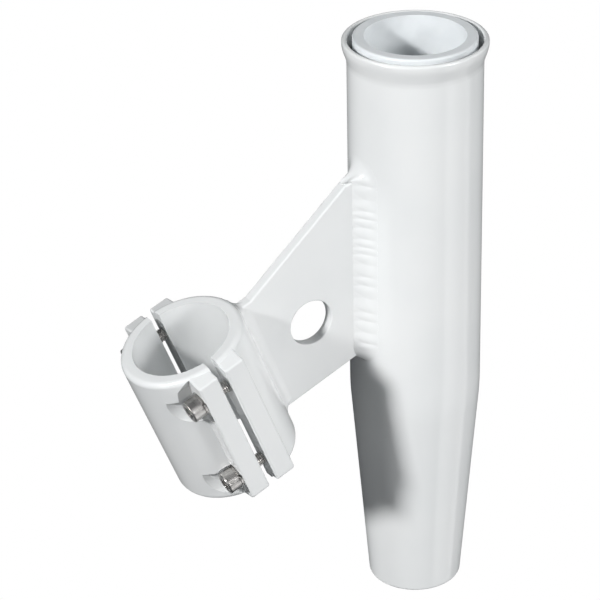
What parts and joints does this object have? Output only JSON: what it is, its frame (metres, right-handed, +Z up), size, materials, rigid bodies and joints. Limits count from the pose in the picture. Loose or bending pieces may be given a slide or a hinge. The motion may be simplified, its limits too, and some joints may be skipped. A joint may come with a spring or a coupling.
{
  "type": "rod holder",
  "caption": "Clamp-on fishing rod holder: flared tube with a tapered end and plastic liner, on a web plate welded to a split rail clamp closed by cap screws.",
  "frame": {"origin": "centre of the clamp's rail bore, halfway along it", "axes": "+Z up along the rod tube, +X from the clamp towards the tube, -Y the front of the holder"},
  "size_m": [0.1525, 0.0562, 0.2337],
  "materials": {
    "powder_coat": "glossy white powder coat over aluminium",
    "liner_plastic": "smooth satin white plastic",
    "stainless": "bright drawn stainless steel"
  },
  "bodies": {
    "bracket": {"rod_tube": "powder_coat", "tube_liner": "liner_plastic", "gimbal_pin": "powder_coat", "web_plate": "powder_coat", "fixed_clamp_half": "powder_coat", "tube_weld": "powder_coat", "clamp_weld": "powder_coat"},
    "cap": {"clamp_cap": "powder_coat", "flat_washer_upper_front": "stainless", "flat_washer_upper_back": "stainless", "flat_washer_lower_front": "stainless", "flat_washer_lower_back": "stainless", "lock_washer_upper_front": "stainless", "lock_washer_upper_back": "stainless", "lock_washer_lower_front": "stainless", "lock_washer_lower_back": "stainless"},
    "screw_upper_front": {"screw_upper_front": "stainless"},
    "screw_upper_back": {"screw_upper_back": "stainless"},
    "screw_lower_front": {"screw_lower_front": "stainless"},
    "screw_lower_back": {"screw_lower_back": "stainless"}
  },
  "joints": [
    {"name": "cap_slide", "type": "slide", "parent": "bracket", "child": "cap", "axis": [-0.9317, 0, -0.3633], "range_m": [-0.0034, 0.007]},
    {"name": "screw_turn_upper_front", "type": "hinge", "parent": "cap", "child": "screw_upper_front", "pos_m": [-0.00685, -0.0233, 0.01756], "axis": [-0.9317, 0, -0.3633], "range_deg": [-1560, 3180]},
    {"name": "screw_turn_upper_back", "type": "hinge", "parent": "cap", "child": "screw_upper_back", "pos_m": [-0.00685, 0.0233, 0.01756], "axis": [-0.9317, 0, -0.3633], "range_deg": [-1560, 3180]},
    {"name": "screw_turn_lower_front", "type": "hinge", "parent": "cap", "child": "screw_lower_front", "pos_m": [0.00685, -0.0233, -0.01756], "axis": [-0.9317, 0, -0.3633], "range_deg": [-1560, 3180]},
    {"name": "screw_turn_lower_back", "type": "hinge", "parent": "cap", "child": "screw_lower_back", "pos_m": [0.00685, 0.0233, -0.01756], "axis": [-0.9317, 0, -0.3633], "range_deg": [-1560, 3180]}
  ],
  "couplings": [
    {"joint": "screw_turn_upper_front", "follows": "cap_slide", "rad_per_m": 7854},
    {"joint": "screw_turn_upper_back", "follows": "cap_slide", "rad_per_m": 7854},
    {"joint": "screw_turn_lower_front", "follows": "cap_slide", "rad_per_m": 7854},
    {"joint": "screw_turn_lower_back", "follows": "cap_slide", "rad_per_m": 7854}
  ]
}
